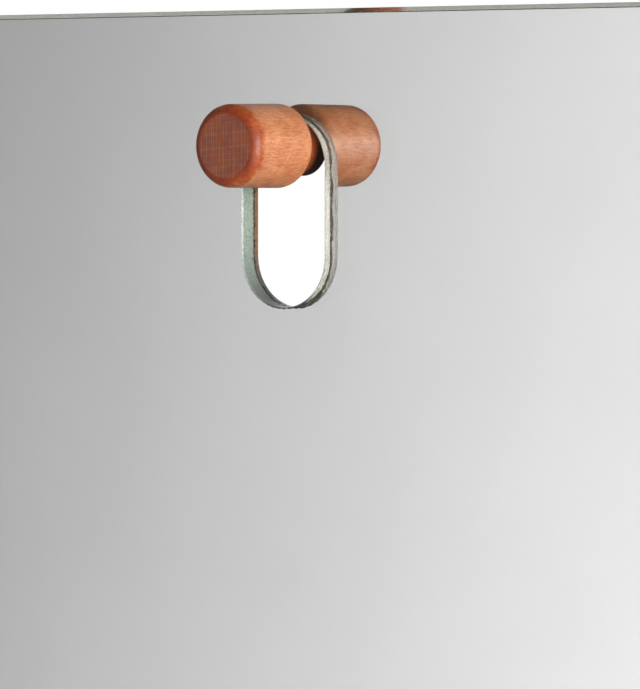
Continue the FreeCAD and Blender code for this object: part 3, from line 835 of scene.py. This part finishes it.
# Pale paper with a soft mottle, which runs out into the white of the background.
paper, tree, shader, place = new_material("floor_paper")
mottle_size = 125 * mm
white_from = 0.8
white_full = 2.2
fleece = add(tree, "ShaderNodeTexNoise", {"Vector": place, "Scale": 1 / mottle_size, "Detail": 3})
shade = add(tree, "ShaderNodeValToRGB", {"Fac": fleece}, stops=[(0.3, "#f0f0ef"), (0.7, "#f4f4f3")])
way_out = add(tree, "ShaderNodeVectorMath", {0: place}, operation="LENGTH")
glow = add(tree, "ShaderNodeMapRange", {
    "Value": way_out, "From Min": white_from, "From Max": white_full, "To Min": 0.05, "To Max": 0.85})
seen = seen_rays(tree)[1]
glow = add(tree, "ShaderNodeMath", {0: glow, 1: seen}, operation="MULTIPLY")
wire(tree, shader, {
    "Base Color": shade, "Roughness": 0.9, "Emission Color": (1, 1, 1, 1), "Emission Strength": glow})
floor_drop = 60 * mm
floor_height = cad_low.z - floor_drop
floor_reach = 3
floor = stage_sheet("floor", [
    (-floor_reach, -floor_reach, floor_height), (floor_reach, -floor_reach, floor_height),
    (floor_reach, floor_reach, floor_height), (-floor_reach, floor_reach, floor_height)], paper)
floor.visible_glossy = False

# Screen of even grey that swells and fades across its width and brightens downwards.
screen_light, tree, shader, place = new_material("screen_light")
axes = add(tree, "ShaderNodeSeparateXYZ", {"Vector": place})
screen_middle = -1.5
screen_wave = 3.1
mean_level = 0.80
swing = 0.195
downward = -0.14
foot_from = -0.47
foot_level = 0.9
display_power = 2.2
screen_strength = 1.27
across = add(tree, "ShaderNodeMath", {0: axes.outputs["X"], 1: -screen_middle}, operation="ADD")
across = add(tree, "ShaderNodeMath", {0: across, 1: screen_wave}, operation="MINIMUM")
phase = add(tree, "ShaderNodeMath", {0: across, 1: 2 * math.pi / screen_wave}, operation="MULTIPLY")
wave = add(tree, "ShaderNodeMath", {0: phase}, operation="SINE")
level = add(tree, "ShaderNodeMath", {0: wave, 1: swing, 2: mean_level}, operation="MULTIPLY_ADD")
level = add(tree, "ShaderNodeMath", {0: axes.outputs["Z"], 1: downward, 2: level}, operation="MULTIPLY_ADD")
foot = add(tree, "ShaderNodeMapRange", {
    "Value": axes.outputs["Z"], "From Min": foot_from, "From Max": floor_height},
    interpolation_type="SMOOTHSTEP")
level = add(tree, "ShaderNodeMix", {"Factor": foot, "A": level, "B": foot_level})
light = add(tree, "ShaderNodeMath", {0: level, 1: display_power}, operation="POWER")
wire(tree, shader, {
    "Base Color": (0, 0, 0, 1), "Specular IOR Level": 0.0, "Emission Color": light,
    "Emission Strength": screen_strength})
screen_place = -2
screen_reach = 6
screen_top = 4
screen = stage_sheet("screen", [
    (-screen_reach, screen_place, floor_height), (screen_reach, screen_place, floor_height),
    (screen_reach, screen_place, screen_top), (-screen_reach, screen_place, screen_top)], screen_light)
screen.visible_camera = False
screen.visible_diffuse = False
screen.visible_glossy = False
screen.visible_shadow = False

# White air for the camera and through the glass. Gloss shows it dimmer, and it lights things only a little.
world = bpy.data.worlds.new("studio_air")
world.use_nodes = True
bpy.context.scene.world = world
tree = world.node_tree
path, seen = seen_rays(tree)
direction = add(tree, "ShaderNodeTexCoord").outputs["Generated"]
direction = add(tree, "ShaderNodeSeparateXYZ", {"Vector": direction})
steep = add(tree, "ShaderNodeMath", {0: direction.outputs["Z"]}, operation="ABSOLUTE")
gloss = add(tree, "ShaderNodeMapRange", {"Value": steep, "From Max": 0.6, "To Min": 0.35, "To Max": 0.12})
hidden = add(tree, "ShaderNodeMix", {"Factor": path.outputs["Is Glossy Ray"], "A": 0.2, "B": gloss})
strength = add(tree, "ShaderNodeMix", {"Factor": seen, "A": hidden, "B": 1.0})
wire(tree, tree.nodes["Background"], {"Color": (1, 1, 1, 1), "Strength": strength})


def softbox(name, place, aim, size, power, spread):
    """Lamp panel whose grid keeps its light within the spread."""
    lamp = bpy.data.lights.new(name, "AREA")
    lamp.shape = "RECTANGLE"
    lamp.size, lamp.size_y = size
    lamp.energy = power
    lamp.spread = math.radians(spread)
    box = bpy.data.objects.new(name, lamp)
    box.location = place
    box.rotation_euler = (Vector(aim) - Vector(place)).to_track_quat("-Z", "Y").to_euler()
    bpy.context.scene.collection.objects.link(box)


softbox("key_softbox", place=(1.6, -0.7, 0.02), aim=(0, -0.03, 0),
        size=(0.9, 0.7), power=5.0, spread=60)
softbox("front_softbox", place=(1.47, -1.63, 0.02), aim=(0, -0.03, 0),
        size=(0.9, 1.5), power=17, spread=180)
softbox("rear_softbox", place=(-1.2, 2.0, 0.6), aim=(0, 0, -0.2),
        size=(1.2, 1.2), power=12, spread=70)

# Camera
# A long lens, level with the peg and to the right of it, as the photograph was taken.
# It is aimed so that the peg's axis meets the glass at the same pixel as there.
view_azimuth = math.radians(37.5)
view_distance = 1.6606
focal_pixels = 5000
image_width, image_height = 640, 689
peg_pixel = (283.1, 145.87)
peg_at_glass = Vector((0, glass_low.y, 0))
back = Vector((math.sin(view_azimuth), -math.cos(view_azimuth), 0))
right = Vector((math.cos(view_azimuth), math.sin(view_azimuth), 0))
up = Vector((0, 0, 1))
lens = bpy.data.cameras.new("camera")
lens.sensor_width = 36
lens.lens = focal_pixels * lens.sensor_width / image_height
camera = bpy.data.objects.new("camera", lens)
camera.location = peg_at_glass + back * view_distance
gaze = -back + right * (image_width / 2 - peg_pixel[0]) / focal_pixels
gaze = gaze - up * (image_height / 2 - peg_pixel[1]) / focal_pixels
camera.rotation_euler = gaze.to_track_quat("-Z", "Y").to_euler()
bpy.context.scene.collection.objects.link(camera)
bpy.context.scene.camera = camera
bpy.context.scene.view_settings.view_transform = "Standard"
